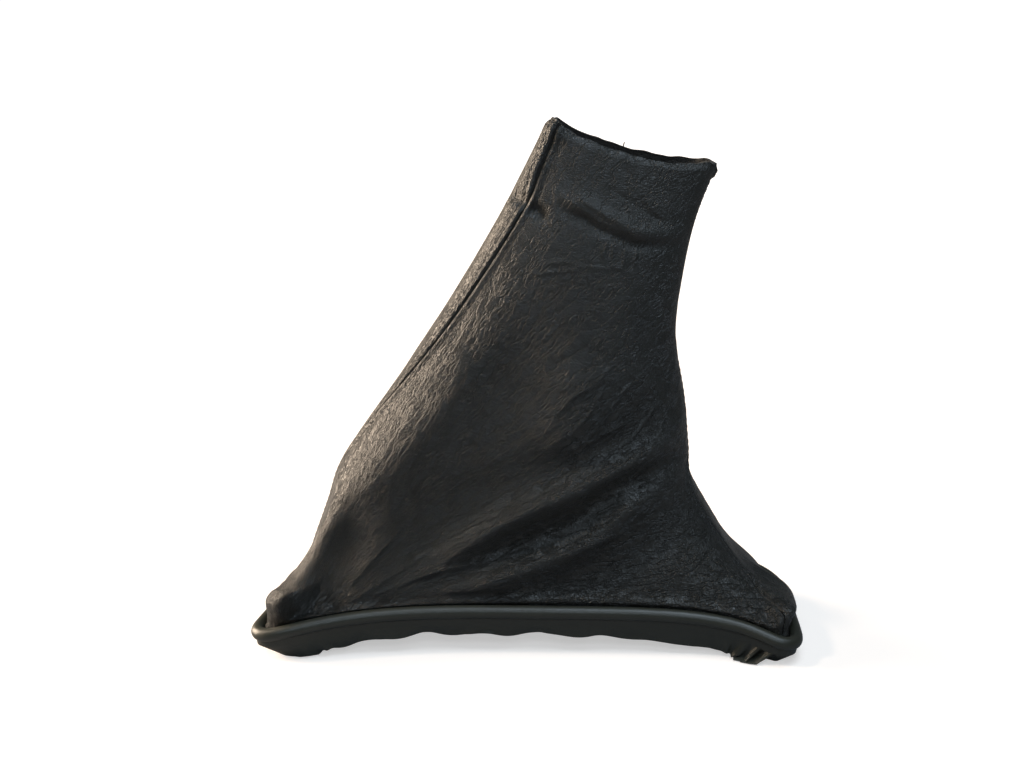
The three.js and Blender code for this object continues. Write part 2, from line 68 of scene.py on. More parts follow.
# Sections of the gaiter from the hem (rise 0) to the mouth (rise 1), as in the solids. back and front
# are (x, z) of the ends, as shares of half the base's length and of the height. right and left are the
# sides' places at (back, front), as shares of half the base's width. square and bow are for (right, left)
# and hollow, which is deeper towards the left side, is for (back, front).
sectionKeys = ("rise", "back", "front", "right", "left", "square", "bow", "hollow")
sections = [dict(zip(sectionKeys, row)) for row in (
    (0, (-1.03, 0.055), (0.985, 0.055), (-1.025, -1.175), (0.825, 0.825),
     (10, 3.2), (0.4, 0.1), (0.055, 0)),
    (0.07, (-0.94, 0.1), (0.92, 0.1), (-0.925, -1.025), (0.8, 0.8),
     (5.5, 3.1), (0.31, 0.1), (0.03, 0)),
    (0.14, (-0.87, 0.16), (0.8, 0.155), (-0.775, -0.825), (0.75, 0.75),
     (4, 3), (0.18, 0.08), (0.02, 0)),
    (0.22, (-0.8, 0.24), (0.695, 0.235), (-0.675, -0.65), (0.675, 0.675),
     (3.1, 2.8), (0.08, 0.04), (0.015, 0)),
    (0.29, (-0.76, 0.315), (0.625, 0.305), (-0.6, -0.575), (0.625, 0.6),
     (2.7, 2.5), (0.03, 0), (0.025, 0)),
    (0.36, (-0.65, 0.39), (0.615, 0.36), (-0.55, -0.525), (0.6, 0.575),
     (2.5, 2.4), (0.01, 0), (0.01, 0)),
    (0.47, (-0.485, 0.5), (0.597, 0.455), (-0.45, -0.45), (0.6, 0.575),
     (2.4, 2.4), (0, 0), (0, 0)),
    (0.61, (-0.31, 0.63), (0.557, 0.58), (-0.325, -0.325), (0.575, 0.55),
     (2.4, 2.4), (0, 0), (0, 0)),
    (0.76, (-0.14, 0.77), (0.585, 0.71), (-0.175, -0.175), (0.55, 0.525),
     (2.4, 2.4), (0, 0), (0, 0)),
    (0.86, (-0.04, 0.86), (0.625, 0.8), (-0.05, -0.05), (0.525, 0.5),
     (2.5, 2.5), (0, 0), (0, 0)),
    (1, (0.08, 0.975), (0.695, 0.895), (0.075, 0.075), (0.5, 0.5),
     (2.6, 2.6), (0, 0), (0, 0)),
)]
# Where the skirt's cut edge runs, written like a section
skirtFoot = dict(zip(sectionKeys, (
    0, (-0.895, 0), (0.87, 0), (-1.0625, -1.2125), (0.9, 0.9), (6, 3), (0.41, 0.065), (0.03, 0.03))))
# How far each seam is turned towards the right side, as (rise, share of the base's length)
backSeamTurn = ((0, -0.015), (0.2, -0.015), (0.3, 0), (0.36, 0.015), (0.41, 0.0275),
    (0.51, 0.045), (0.64, 0.055), (0.84, 0.055), (0.9, 0.045), (1, 0.034))
frontSeamTurn = ((0, 0.1675), (0.06, 0.13), (0.11, 0.083), (0.15, 0.0575), (0.26, 0.05),
    (0.31, 0.02), (0.38, -0.01), (0.6, -0.02), (1, -0.005))

# Folds as (height, width, points), each point as (across, rise) from the back seam to the front seam
rightFolds = (
    (3.4, 4.6, ((0.075, 0.27), (0.09, 0.15), (0.108, 0.087), (0.14, 0.015))),
    (-1.1, 6, ((0.15, 0.23), (0.155, 0.165), (0.165, 0.095), (0.2, 0.01))),
    (-2.6, 7, ((-0.06, 0.08), (0.02, 0.075), (0.07, 0.05))),
    (-3.0, 6, ((-0.02, 0.05), (0.04, 0.045), (0.09, 0.03))),
    (1.1, 8, ((0.09, 0.66), (0.12, 0.47), (0.125, 0.37), (0.1, 0.27), (0.085, 0.2))),
    (-3.0, 17, ((0.25, 0.64), (0.28, 0.5), (0.31, 0.4), (0.32, 0.29), (0.3, 0.2), (0.28, 0.1))),
    (1.8, 15, ((0.52, 0.56), (0.57, 0.45), (0.57, 0.36))),
    (3.3, 5.5, ((0.92, 0.41), (0.8, 0.345), (0.69, 0.29), (0.57, 0.25), (0.43, 0.19), (0.31, 0.11))),
    (3.3, 5.5, ((0.97, 0.3), (0.86, 0.26), (0.75, 0.21), (0.66, 0.175), (0.5, 0.11), (0.37, 0.03))),
    (-2.4, 5.5, ((0.97, 0.35), (0.84, 0.3), (0.71, 0.24), (0.58, 0.205), (0.42, 0.15))),
    (-2, 9, ((0.9, 0.49), (0.76, 0.41), (0.6, 0.34), (0.45, 0.28), (0.34, 0.2))),
    (-1.8, 7, ((0.95, 0.22), (0.85, 0.18), (0.74, 0.13), (0.6, 0.09))),
    (1.5, 3.2, ((0.03, 0.862), (0.2, 0.858), (0.38, 0.84), (0.53, 0.828), (0.65, 0.82), (0.9, 0.823))),
    (-1.3, 1.9, ((0.1, 0.838), (0.25, 0.828), (0.4, 0.812), (0.55, 0.802), (0.65, 0.795), (0.9, 0.803))),
    (-2.0, 2.2, ((-0.12, 0.83), (-0.05, 0.825), (0.02, 0.812))),
)
# Single wrinkles, written like the folds
rightWrinkles = (
    (-0.5, 0.9, ((0.12, 0.87), (0.33, 0.84), (0.51, 0.82))),
    (-0.5, 1.0, ((0.35, 0.903), (0.53, 0.883), (0.68, 0.857), (0.78, 0.84))),
    (-0.4, 1.0, ((0.54, 0.897), (0.7, 0.86), (0.81, 0.843))),
    (0.3, 0.6, ((0.14, 0.73), (0.27, 0.743), (0.42, 0.74), (0.56, 0.747), (0.74, 0.737))),
    (0.3, 0.6, ((0.13, 0.71), (0.25, 0.723), (0.38, 0.733))),
    (0.35, 0.5, ((0.46, 0.79), (0.46, 0.767), (0.5, 0.75))),
    (0.35, 0.5, ((0.5, 0.79), (0.52, 0.76))),
    (0.35, 0.5, ((0.58, 0.783), (0.6, 0.75))),
    (0.35, 0.5, ((0.65, 0.787), (0.66, 0.753))),
    (0.6, 0.7, ((0.81, 0.537), (0.72, 0.503), (0.68, 0.453), (0.64, 0.4), (0.6, 0.37))),
    (0.6, 0.7, ((0.64, 0.503), (0.61, 0.45), (0.58, 0.41))),
    (0.6, 0.7, ((0.78, 0.443), (0.68, 0.41), (0.64, 0.387))),
    (0.5, 0.7, ((0.66, 0.55), (0.6, 0.513), (0.54, 0.487), (0.5, 0.437))),
    (0.6, 0.7, ((0.88, 0.493), (0.81, 0.427), (0.76, 0.38))),
    (0.35, 0.7, ((0.88, 0.353), (0.84, 0.31), (0.77, 0.29))),
    (0.35, 0.8, ((1.0, 0.247), (0.89, 0.23), (0.74, 0.197), (0.62, 0.173), (0.5, 0.16),
                 (0.4, 0.137), (0.3, 0.1))),
    (0.35, 0.8, ((0.82, 0.217), (0.68, 0.177), (0.56, 0.153), (0.45, 0.143), (0.35, 0.117),
                 (0.26, 0.05))),
    (0.35, 0.7, ((0.36, 0.193), (0.27, 0.107), (0.24, 0.053))),
    (0.35, 0.7, ((0.27, 0.223), (0.22, 0.153), (0.2, 0.083))),
)
leftFolds = (
    (-2.6, 7, ((0.93, 0.06), (0.98, 0.075), (1.06, 0.08))),
    (-3.0, 6, ((0.91, 0.03), (0.96, 0.045), (1.02, 0.05))),
    (2.4, 7, ((0.12, 0.34), (0.3, 0.27), (0.45, 0.19), (0.6, 0.08))),
    (1.2, 7, ((0.1, 0.25), (0.25, 0.18), (0.38, 0.08))),
    (-2.2, 11, ((0.9, 0.45), (0.82, 0.3), (0.78, 0.12))),
    (2.0, 5, ((0.95, 0.3), (0.9, 0.16), (0.86, 0.02))),
    (0.9, 3.5, ((1.08, 1.0), (1.08, 0.93), (1.06, 0.86))),
    (-2.2, 2.4, ((0.98, 0.838), (1.06, 0.836), (1.14, 0.832))),
)
leftWrinkles = ()
upward = np.array((0.0, 0.0, 1.0))


def unit(vectors):
    return vectors / np.linalg.norm(vectors, axis=-1, keepdims=True)


def smoothStep(low, high, value):
    t = np.clip((value - low) / (high - low), 0, 1)
    return t * t * (3 - 2 * t)


def bell(value, centre, width):
    return np.exp(-(((value - centre) / width) ** 2))


# Smooth curve through the values of a table whose rows are (place, value)
def curveThrough(table, place):
    places = np.array([row[0] for row in table], float)
    values = np.array([row[1] for row in table], float)
    at = np.clip(place, places[0], places[-1])
    i = np.clip(np.searchsorted(places, at, side="left") - 1, 0, len(places) - 2)
    before = np.maximum(np.arange(len(places)) - 1, 0)
    after = np.minimum(np.arange(len(places)) + 1, len(places) - 1)
    slope = (values[after] - values[before]) / (places[after] - places[before])
    step = places[i + 1] - places[i]
    t = (at - places[i]) / step
    return ((2 * t**3 - 3 * t**2 + 1) * values[i] + (t**3 - 2 * t**2 + t) * step * slope[i]
            + (3 * t**2 - 2 * t**3) * values[i + 1] + (t**3 - t**2) * step * slope[i + 1])


# A section with its shares turned into millimetres
def sized(section):
    ends = np.array((gaiter["baseLength"] / 2, gaiter["height"]))
    sides = gaiter["baseWidth"] / 2
    return {**section, "back": section["back"] * ends, "front": section["front"] * ends,
            "right": np.multiply(section["right"], sides), "left": np.multiply(section["left"], sides)}


def sectionAt(rise):
    def shares(key):
        return np.array([curveThrough([(s["rise"], s[key][k]) for s in sections], rise) for k in (0, 1)])

    return sized({key: shares(key) for key in sectionKeys[1:]})


# Points of one section's outline: angle 0 is the back end and a half turn is the front end
def outlinePoints(section, angles):
    c = np.cos(angles)
    s = np.sin(angles)
    side = np.where(s > 0, 0, 1)
    end = np.where(c > 0, 0, 1)
    pick = {key: np.array(section[key]) for key in ("square", "bow", "hollow")}
    power = pick["square"][side]
    radius = (np.abs(c) ** power + np.abs(s) ** power) ** (-1 / power)
    along = -radius * c
    aside = -radius * s
    bowPower = np.where(end == 0, *leather["bowPowers"])
    hollow = pick["hollow"][end] * (1 - aside**2 + leather["hollowSlant"] * (1 + aside))
    t = (along * (1 - hollow) + 1) / 2
    right = section["right"][0] + (section["right"][1] - section["right"][0]) * t
    left = section["left"][0] + (section["left"][1] - section["left"][0]) * t
    depth = aside * (1 - pick["bow"][side] * (1 - np.abs(along) ** bowPower))
    points = np.stack((
        section["back"][0] + (section["front"][0] - section["back"][0]) * t,
        (right + left) / 2 + (left - right) / 2 * depth,
        section["back"][1] + (section["front"][1] - section["back"][1]) * t), axis=-1)
    return points, along, aside, side


# A closed ring that is measured along its length
class Ring:
    samples = 1440

    def __init__(self, points):
        self.points = points
        steps = np.linalg.norm(np.diff(points, axis=0), axis=1)
        self.lengths = np.concatenate(((0,), np.cumsum(steps)))
        self.total = self.lengths[-1]
        self.half = self.lengths[self.samples // 2]

    def at(self, distance):
        d = np.mod(distance, self.total)
        return np.stack([np.interp(d, self.lengths, self.points[:, k]) for k in range(3)], axis=-1)

    def heading(self, distance, reach=0.8):
        return unit(self.at(distance + reach) - self.at(distance - reach))


ringAngles = np.linspace(0, 2 * math.pi, Ring.samples + 1)


# From 0 at four fifths to 1 at the end
def lastFifth(value):
    return np.clip((value - 0.8) / 0.2, 0, 1)


# The leather's outer surface without folds or seams, as a ring at one rise
def bodyRing(rise):
    points, along, aside, side = outlinePoints(sectionAt(rise), ringAngles)
    atHem = np.clip(1 - rise / leather["hemArchReach"], 0, 1) ** 1.5
    arch = np.array(leather["hemArch"])[side]
    droop = leather["frontDroop"] * lastFifth(along) ** 2
    points[:, 2] += atHem * (arch * (1 - along**4) * aside**2 - droop)
    lift = np.where(along < 0, *leather["mouthLift"]) * along**8
    lift -= leather["mouthTilt"] * aside + leather["mouthDip"] * (1 - along**2)
    points[:, 2] += lastFifth(rise) * (lift - leather["mouthRound"] * bell(np.abs(along), 1, 0.05))
    return Ring(points)


hemRing = bodyRing(0)

# What a user would change about the piping, in millimetres, and its flat cut in metres
piping = {"cord": 3.2, "wall": 0.7, "legs": (4.6, 3.4), "slit": 0.2, "drop": 1.4, "stations": 640,
          "cut": (0.511, 0.0235)}
coverRadius = piping["cord"] / 2 + leather["gap"] + piping["wall"]
beadOffset = leather["gap"] + coverRadius


# How far a place along the hem belongs to the back or front end, where the leather bulges over the bead
def endShare(points):
    return smoothStep(*leather["ends"], np.abs(points[..., 0]) / sectionAt(0)["front"][0])


def between(pair, share):
    return pair[0] + (pair[1] - pair[0]) * share


# Ends of a panel along a ring: the right panel runs from the back seam to the front seam
def panelEnds(side, ring, rise):
    backSeam = float(curveThrough(backSeamTurn, rise)) * gaiter["baseLength"]
    frontSeam = ring.half - float(curveThrough(frontSeamTurn, rise)) * gaiter["baseLength"]
    return (backSeam, frontSeam) if side == "right" else (frontSeam, ring.total + backSeam)


# A point on a panel's surface: across is measured between the two seam allowances
def panelPoint(side, across, rise):
    ring = bodyRing(rise)
    start, end = panelEnds(side, ring, rise)
    allowance = leather["allowance"]
    return ring.at(start + allowance + (end - start - 2 * allowance) * across)


# Places along the hem, closer together where it turns
def spreadAlong(ring, start, end, count, turnWeight=17, step=0.5):
    places = np.append(np.arange(start, end, step), end)
    heading = ring.heading(places)
    turn = np.arccos(np.clip((heading[1:] * heading[:-1]).sum(axis=1), -1, 1))
    weights = np.concatenate(((0,), np.cumsum(np.diff(places) + turnWeight * turn)))
    return np.interp(np.linspace(0, weights[-1], count), weights, places)


# How finely the panels are made: (columns, rows) of each, and how those are shared out
grids = {"right": (321, 281), "left": (221, 201), "seamColumns": 20, "hemRows": 4, "lowRows": 28,
         "lowBand": 0.07, "coarse": 4}


# The panel's columns, as distances along one ring, and how far each is from the nearer seam
def columnPlaces(side, ring, rise, count, innerShares):
    start, end = panelEnds(side, ring, rise)
    allowance = leather["allowance"]
    edge = leather["gap"] / 2
    beside = np.linspace(edge, allowance - 0.4, grids["seamColumns"])
    inner = start + allowance + (end - start - 2 * allowance) * innerShares
    places = np.concatenate((start + beside, inner, (end - beside)[::-1]))
    fromSeam = np.minimum(places - start, end - places)
    return places, fromSeam


# How far folds lift the points of a surface, from lines that run over it
def foldHeights(side, folds, points):
    heights = np.zeros(points.shape[:-1])
    for height, width, path in folds:
        knots = np.linspace(0, 1, len(path))
        steps = np.linspace(0, 1, 41)
        across = curveThrough(list(zip(knots, (p[0] for p in path))), steps)
        rises = curveThrough(list(zip(knots, (p[1] for p in path))), steps)
        line = np.array([panelPoint(side, a, r) for a, r in zip(across, rises)])
        best = np.full(heights.shape, np.inf)
        place = np.zeros(heights.shape)
        for i in range(len(line) - 1):
            step = line[i + 1] - line[i]
            t = np.clip(((points - line[i]) @ step) / (step @ step), 0, 1)
            distance = ((points - line[i] - t[..., None] * step) ** 2).sum(axis=-1)
            nearer = distance < best
            best = np.where(nearer, distance, best)
            place = np.where(nearer, (i + t) / (len(line) - 1), place)
        fade = np.minimum(1, np.minimum(4 * place + 0.25, 4 * (1 - place) + 0.25))
        heights += height * fade * np.exp(-((np.sqrt(best) / width) ** 2))
    return heights


# What a user would change about the stitches, in millimetres. firstRow is counted up from the hem, and
# the loose end of thread stands at a share of the left panel's far rim.
stitches = {"pitch": 2.8, "length": 1.9, "radius": 0.26, "seed": 7, "firstRow": 6,
            "looseEnd": {"share": 0.48, "length": 0.9, "towards": (0.2, 0, 1)}}


# How the leather rises and sinks beside a seam, with a dent where each stitch pulls it in
def seamHeights(fromSeam, alongSeam):
    pull = 0.65 - 0.35 * np.cos(2 * math.pi * alongSeam / stitches["pitch"])
    ridge = leather["seamRidge"] * bell(fromSeam, leather["ridgeOffset"], leather["ridgeWidth"])
    groove = leather["seamDepth"] * bell(fromSeam, 0, leather["seamWidth"])
    dents = leather["stitchDent"] * bell(fromSeam, leather["stitchOffset"], leather["dentWidth"])
    return ridge * (1.6 - pull) - groove - dents * pull


def addObject(name, data):
    added = bpy.data.objects.new(name, data)
    bpy.context.scene.collection.objects.link(added)
    return added


def makeMesh(name, points, faces, material, sharpAngle=50):
    mesh = bpy.data.meshes.new(name)
    mesh.from_pydata((np.asarray(points) + shift).reshape(-1, 3) * millimetre, [], faces)
    mesh.polygons.foreach_set("use_smooth", [True] * len(mesh.polygons))
    mesh.set_sharp_from_angle(angle=math.radians(sharpAngle))
    mesh.materials.append(material)
    return addObject(name, mesh)


def gridFaces(rows, columns, first=0, flipped=False):
    index = first + np.arange(rows * columns).reshape(rows, columns)
    corners = (index[:-1, :-1], index[:-1, 1:], index[1:, 1:], index[1:, :-1])
    faces = np.stack(corners, axis=-1).reshape(-1, 4)
    return (faces[:, ::-1] if flipped else faces).tolist()


# Noise at many points, in steps of the given size
def noiseAt(points, size, seed=0):
    flat = points.reshape(-1, 3) / size + seed * 17.3
    return np.array([noise.noise(p) for p in flat]).reshape(points.shape[:-1])


# Noise stretched along creases that fan out over the near face from its lower back corner
def creaseNoise(points, along, across, seed):
    middle = leather["fanMiddle"]
    x, z = points[..., 0] - middle[0], points[..., 2] - middle[1]
    turned = np.stack((np.hypot(x, z) / along, np.arctan2(z, x) * leather["fanReach"] / across,
                       points[..., 1] / across / 2), axis=-1)
    warped = turned + 0.35 * noiseAt(points, 25, seed + 20)[..., None]
    return 0.6 - 2 * np.abs(noiseAt(warped, 1, seed)) ** 0.8


# Creases and wrinkles of a panel: strong where the near face is crumpled, faint on the smooth neck
def creaseHeights(side, wrinkles, points, rises):
    (x, z), (wide, high) = leather["creased"]
    crumpled = np.exp(-(((points[..., 0] - x) / wide) ** 2) - ((points[..., 2] - z) / high) ** 2)
    smoothNeck = smoothStep(leather["neckStart"], 0.8, rises)[:, None]
    strength = (0.3 + 0.7 * crumpled) * (1 - 0.7 * smoothNeck)
    creases = sum(depth * creaseNoise(points, along, across, seed)
                  for seed, (along, across, depth) in enumerate(leather["creases"]))
    return strength * creases + foldHeights(side, wrinkles, points) + 0.08 * noiseAt(points, 14, 4)


# The panel's plain surface: a grid of points and normals, with each row's rise, each column's share in
# an end, and how far each point is from the nearer seam, up its own column and above the hem
def panelGrid(side):
    columnCount, rowCount = grids[side]
    hemRows, lowRows, lowBand = grids["hemRows"], grids["lowRows"], grids["lowBand"]
    highRows = rowCount - hemRows - lowRows
    rises = np.concatenate((np.zeros(hemRows), np.linspace(0, lowBand, lowRows, endpoint=False),
                            np.linspace(lowBand, 1, highRows)))
    start, end = panelEnds(side, hemRing, 0)
    allowance = leather["allowance"]
    innerCount = columnCount - 2 * grids["seamColumns"]
    inner = spreadAlong(hemRing, start + allowance, end - allowance, innerCount, 6)
    innerShares = (inner - start - allowance) / (end - start - 2 * allowance)
    base = np.zeros((rowCount, columnCount, 3))
    fromSeam = np.zeros((rowCount, columnCount))
    climbed = np.zeros((rowCount, columnCount))
    for r in range(hemRows, rowCount):
        ring = bodyRing(rises[r])
        places, fromSeam[r] = columnPlaces(side, ring, rises[r], columnCount, innerShares)
        base[r] = ring.at(places)
    ends = endShare(base[hemRows])
    allowanceBelow = between(piping["legs"], ends) + piping["drop"]
    drops = np.linspace(1, 0, hemRows, endpoint=False)[:, None] * allowanceBelow
    base[:hemRows] = base[hemRows] - drops[..., None] * upward
    fromSeam[:hemRows] = fromSeam[hemRows]
    climbed[1:] = np.cumsum(np.linalg.norm(np.diff(base, axis=0), axis=2), axis=0)

    rim = smoothStep(0.975, 1, rises)
    base[..., 2] += leather["rimWave"] * rim[:, None] * noiseAt(base, 5, 9)
    normals = unit(np.cross(np.gradient(base, axis=1), np.gradient(base, axis=0)))
    hemPlaces, _ = columnPlaces(side, hemRing, 0, columnCount, innerShares)
    normals[:hemRows] = unit(np.cross(hemRing.heading(hemPlaces), upward))
    above = np.linalg.norm(base - base[hemRows], axis=2)
    above[:hemRows] = 0
    return {"base": base, "normals": normals, "rises": rises, "ends": ends,
            "fromSeam": fromSeam, "climbed": climbed, "above": above}


# How far a panel stands out from its plain surface: broad forms, which its inner face follows, then fine
def panelHeights(side, folds, wrinkles, grid):
    base, fromSeam, above = grid["base"], grid["fromSeam"], grid["above"]
    rowCount, columnCount = fromSeam.shape
    body = np.ones((rowCount, 1))
    body[:grids["hemRows"]] = 0
    broad = foldHeights(side, folds, base)
    broad *= np.clip(above / np.where(broad > 0, *leather["foldStart"]), 0, 1)
    nearSide = -base[grids["hemRows"], :, 1] / (gaiter["baseWidth"] / 2)
    corners = grid["ends"] * smoothStep(*leather["corners"], nearSide)
    rollHeight = between(leather["hemRollHeight"], corners)
    rollWidth = np.where(above < rollHeight, between(leather["hemRollWidth"], corners),
                         between(leather["hemRollReach"], corners))
    broad += body * between(leather["hemRoll"], corners) * bell(above, rollHeight, rollWidth)
    atStart = np.arange(columnCount) < columnCount / 2
    atBack = atStart if side == "right" else ~atStart
    rises = grid["rises"][:, None]
    (roll, rollReach), (tab, tabReach) = leather["rimRoll"], leather["rimTab"]
    broad += atBack * roll * smoothStep(0.955, 0.985, rises) * bell(fromSeam, 0, rollReach)
    broad -= leather["rimCurl"] * smoothStep(0.982, 1, rises)
    broad += ~atBack * tab * smoothStep(0.955, 0.97, rises) * bell(fromSeam, 0, tabReach)
    fine = seamHeights(fromSeam, grid["climbed"]) * body
    settle = np.clip(above / 6, 0, 1) * smoothStep(0.5, 5, fromSeam)
    fine += settle * creaseHeights(side, wrinkles, base, grid["rises"])
    return broad, fine


# One leather panel: a fine outer face, a coarse inner face, and walls that join their edges
def makePanel(side, folds, wrinkles, material):
    columnCount, rowCount = grids[side]
    grid = panelGrid(side)
    base, normals, fromSeam = grid["base"], grid["normals"], grid["fromSeam"]
    broad, fine = panelHeights(side, folds, wrinkles, grid)
    outer = base + normals * (broad + fine)[..., None]

    step = grids["coarse"]
    doubled = smoothStep(-0.5, 0, leather["allowance"] - 0.3 - fromSeam)
    layers = 1 + doubled * (grid["above"] > leather["trimmed"])
    innerGrid = (base + normals * (broad - layers * leather["thickness"])[..., None])[::step, ::step]
    points = np.concatenate((outer.reshape(-1, 3), innerGrid.reshape(-1, 3)))
    outerFaces = gridFaces(rowCount, columnCount)
    innerRows, innerColumns = innerGrid.shape[:2]
    first = rowCount * columnCount
    faces = outerFaces + gridFaces(innerRows, innerColumns, first, flipped=True)
    outerIndex = np.arange(first).reshape(rowCount, columnCount)
    innerIndex = first + np.arange(innerRows * innerColumns).reshape(innerRows, innerColumns)
    borders = ((outerIndex[0][::-1], innerIndex[0][::-1]), (outerIndex[-1], innerIndex[-1]),
               (outerIndex[:, 0], innerIndex[:, 0]), (outerIndex[::-1, -1], innerIndex[::-1, -1]))
    for fineEdge, coarseEdge in borders:
        for k in range(len(coarseEdge) - 1):
            run = fineEdge[k * step:(k + 1) * step + 1].tolist()
            faces.append(run + [int(coarseEdge[k + 1]), int(coarseEdge[k])])
    piece = makeMesh(side + "_leather", points, faces, material)
    flesh = np.ones(len(faces))
    flesh[:len(outerFaces)] = 0
    piece.data.attributes.new("flesh", "FLOAT", "FACE").data.foreach_set("value", flesh)
    return piece, {"outer": outer, "fromSeam": fromSeam}


# Points of an arc round the bead's middle, as (outward, up)
def arcPoints(radius, fromDegrees, toDegrees, steps):
    angles = np.radians(np.linspace(fromDegrees, toDegrees, steps + 1))
    return [(beadOffset + radius * math.cos(a), radius * math.sin(a)) for a in angles]


# Section of the piping's cover: it wraps the cord and hangs down as two legs
def coverOutline(legs):
    innerRadius = coverRadius - piping["wall"]
    slitStart = leather["gap"] + piping["wall"]
    outerLeg = slitStart + piping["slit"]
    outerFace = outerLeg + piping["wall"]

    def degrees(x, radius):
        return math.degrees(math.acos((x - beadOffset) / radius))

    return np.array([
        (leather["gap"], -legs),
        *arcPoints(coverRadius, 180, -degrees(outerFace, coverRadius), 26),
        (outerFace, -legs),
        (outerLeg, -legs),
        *arcPoints(innerRadius, -degrees(outerLeg, innerRadius), 180, 12),
        (slitStart, -legs),
    ][::-1])


# Stations along the hem, which start and end at a butt joint in the middle of the left side
def hemStations(count):
    joint = hemRing.half * 1.5
    halfGap = leather["gap"] / 2
    return spreadAlong(hemRing, joint + halfGap, joint + hemRing.total - halfGap, count)


# Outlines set along the hem: one outline of (outward, up) for each station
def alongHem(stations, outlines):
    hem = hemRing.at(stations)[:, None]
    outward = unit(np.cross(hemRing.heading(stations), upward))[:, None]
    return hem + outward * outlines[..., :1] + upward * (outlines[..., 1:] - piping["drop"])


def coverOutlines(stations):
    legs = between(piping["legs"], endShare(hemRing.at(stations)))
    return np.array([coverOutline(length) for length in legs])


# Faces of a strip with the same outline all along, closed at its two ends
def stripFaces(stationCount, count):
    index = np.arange(stationCount * count).reshape(stationCount, count)
    nextIndex = np.roll(index, -1, axis=1)
    corners = (index[:-1], index[1:], nextIndex[1:], nextIndex[:-1])
    faces = np.stack(corners, axis=-1).reshape(-1, 4).tolist()
    return faces + [index[0].tolist(), index[-1][::-1].tolist()]


def makePiping(material):
    stations = hemStations(piping["stations"])
    outlines = coverOutlines(stations)
    return makeMesh("piping", alongHem(stations, outlines), stripFaces(*outlines.shape[:2]), material)


# What a user would change about the skirt, in millimetres, its shares of half the base, and its flat cut
# in metres. waves says where along the base they begin, are fullest and end.
skirt = {
    "wall": 0.7, "lift": 7.2, "topRise": 0.6, "tuck": (0.62, 0.82), "tuckedFrom": 2.5, "tuckedReach": 5,
    "flatShare": 0.35, "gatherDepth": 1.5, "gatherLift": 2.6, "gatherPitch": 9, "gatherReach": 17,
    "waves": (-0.81, -0.14, 0.74), "waveDepth": 0.8, "wavePitch": 31,
    "edgeWave": 0.6, "edgeWavePitch": 19, "edgeUneven": 0.9,
    "pucker": 0.9, "flare": 3.5, "ruffleCorner": (0.82, -1), "ruffleReach": 12,
    "ruffleDepth": 2.1, "rufflePitch": 4.9, "ruffleLift": 0.7, "stations": 760, "cut": (0.512, 0.014),
}
foot = sized(skirtFoot)
footRing = Ring(outlinePoints(foot, ringAngles)[0])
footCorners = np.array([(foot[end][0], foot[side][k])
                        for k, end in enumerate(("back", "front")) for side in ("right", "left")])


# The skirt's cut edge below its fold: it hangs in waves along the sides, is gathered at the corners,
# flares in ruffles at one of them and is turned under at the two ends
def skirtEdge(stations, laneEnd):
    d = np.mod(stations, hemRing.total)
    share = (d - hemRing.half) / (hemRing.total - hemRing.half)
    distance = np.where(d < hemRing.half, d / hemRing.half * footRing.half,
                        footRing.half + share * (footRing.total - footRing.half))
    edge = footRing.at(distance)
    outward = unit(np.cross(footRing.heading(distance), upward))
    near = np.linalg.norm(edge[:, None, :2] - footCorners, axis=2).min(axis=1)
    gathered = np.exp(-((near / skirt["gatherReach"]) ** 2))
    corner = np.array(skirt["ruffleCorner"]) * (gaiter["baseLength"] / 2, gaiter["baseWidth"] / 2)
    ruffled = np.exp(-((np.linalg.norm(edge[:, :2] - corner, axis=1) / skirt["ruffleReach"]) ** 2))
    lengthwise = np.abs(edge[:, 0]) / (gaiter["baseLength"] / 2)
    tuck = smoothStep(*skirt["tuck"], lengthwise)
    low, middle, high = skirt["waves"]
    fromMiddle = edge[:, 0] / (gaiter["baseLength"] / 2) - middle
    reach = np.where(fromMiddle < 0, low - middle, high - middle)
    side = np.clip(1 - (fromMiddle / reach) ** 2.5, 0, 1)
    phase = np.cos(distance / skirt["gatherPitch"] * 2 * math.pi)
    ruffles = np.cos(distance / skirt["rufflePitch"] * 2 * math.pi + 0.8 * np.sin(distance / 3.1))
    edge += (laneEnd - edge) * (1 - tuck)[:, None]
    waves = skirt["waveDepth"] * side * np.sin(distance / skirt["wavePitch"] * 2 * math.pi)
    gathers = skirt["gatherDepth"] * gathered * phase
    edge += outward * (waves + gathers + skirt["flare"] * ruffled)[:, None]
    edge += outward * (skirt["ruffleDepth"] * ruffled * ruffles)[:, None]
    edge[:, 2] = skirt["lift"] * side + skirt["gatherLift"] * gathered * side * (1 - phase)
    edgeWaves = skirt["edgeWave"] * side * np.sin(distance / skirt["edgeWavePitch"] * 2 * math.pi)
    edge[:, 2] += edgeWaves + skirt["ruffleLift"] * ruffled * (1 - ruffles)
    line = np.stack((distance, 0 * distance, 0 * distance), axis=-1)
    puckers = skirt["pucker"] * (0.3 + 0.7 * side) * (noiseAt(line, 6, 3) + 0.6 * noiseAt(line, 2.6, 5))
    edge[:, 2] += skirt["edgeUneven"] * side * noiseAt(line, 8, 6)
    return edge, skirt["ruffleDepth"] * ruffled * ruffles + puckers


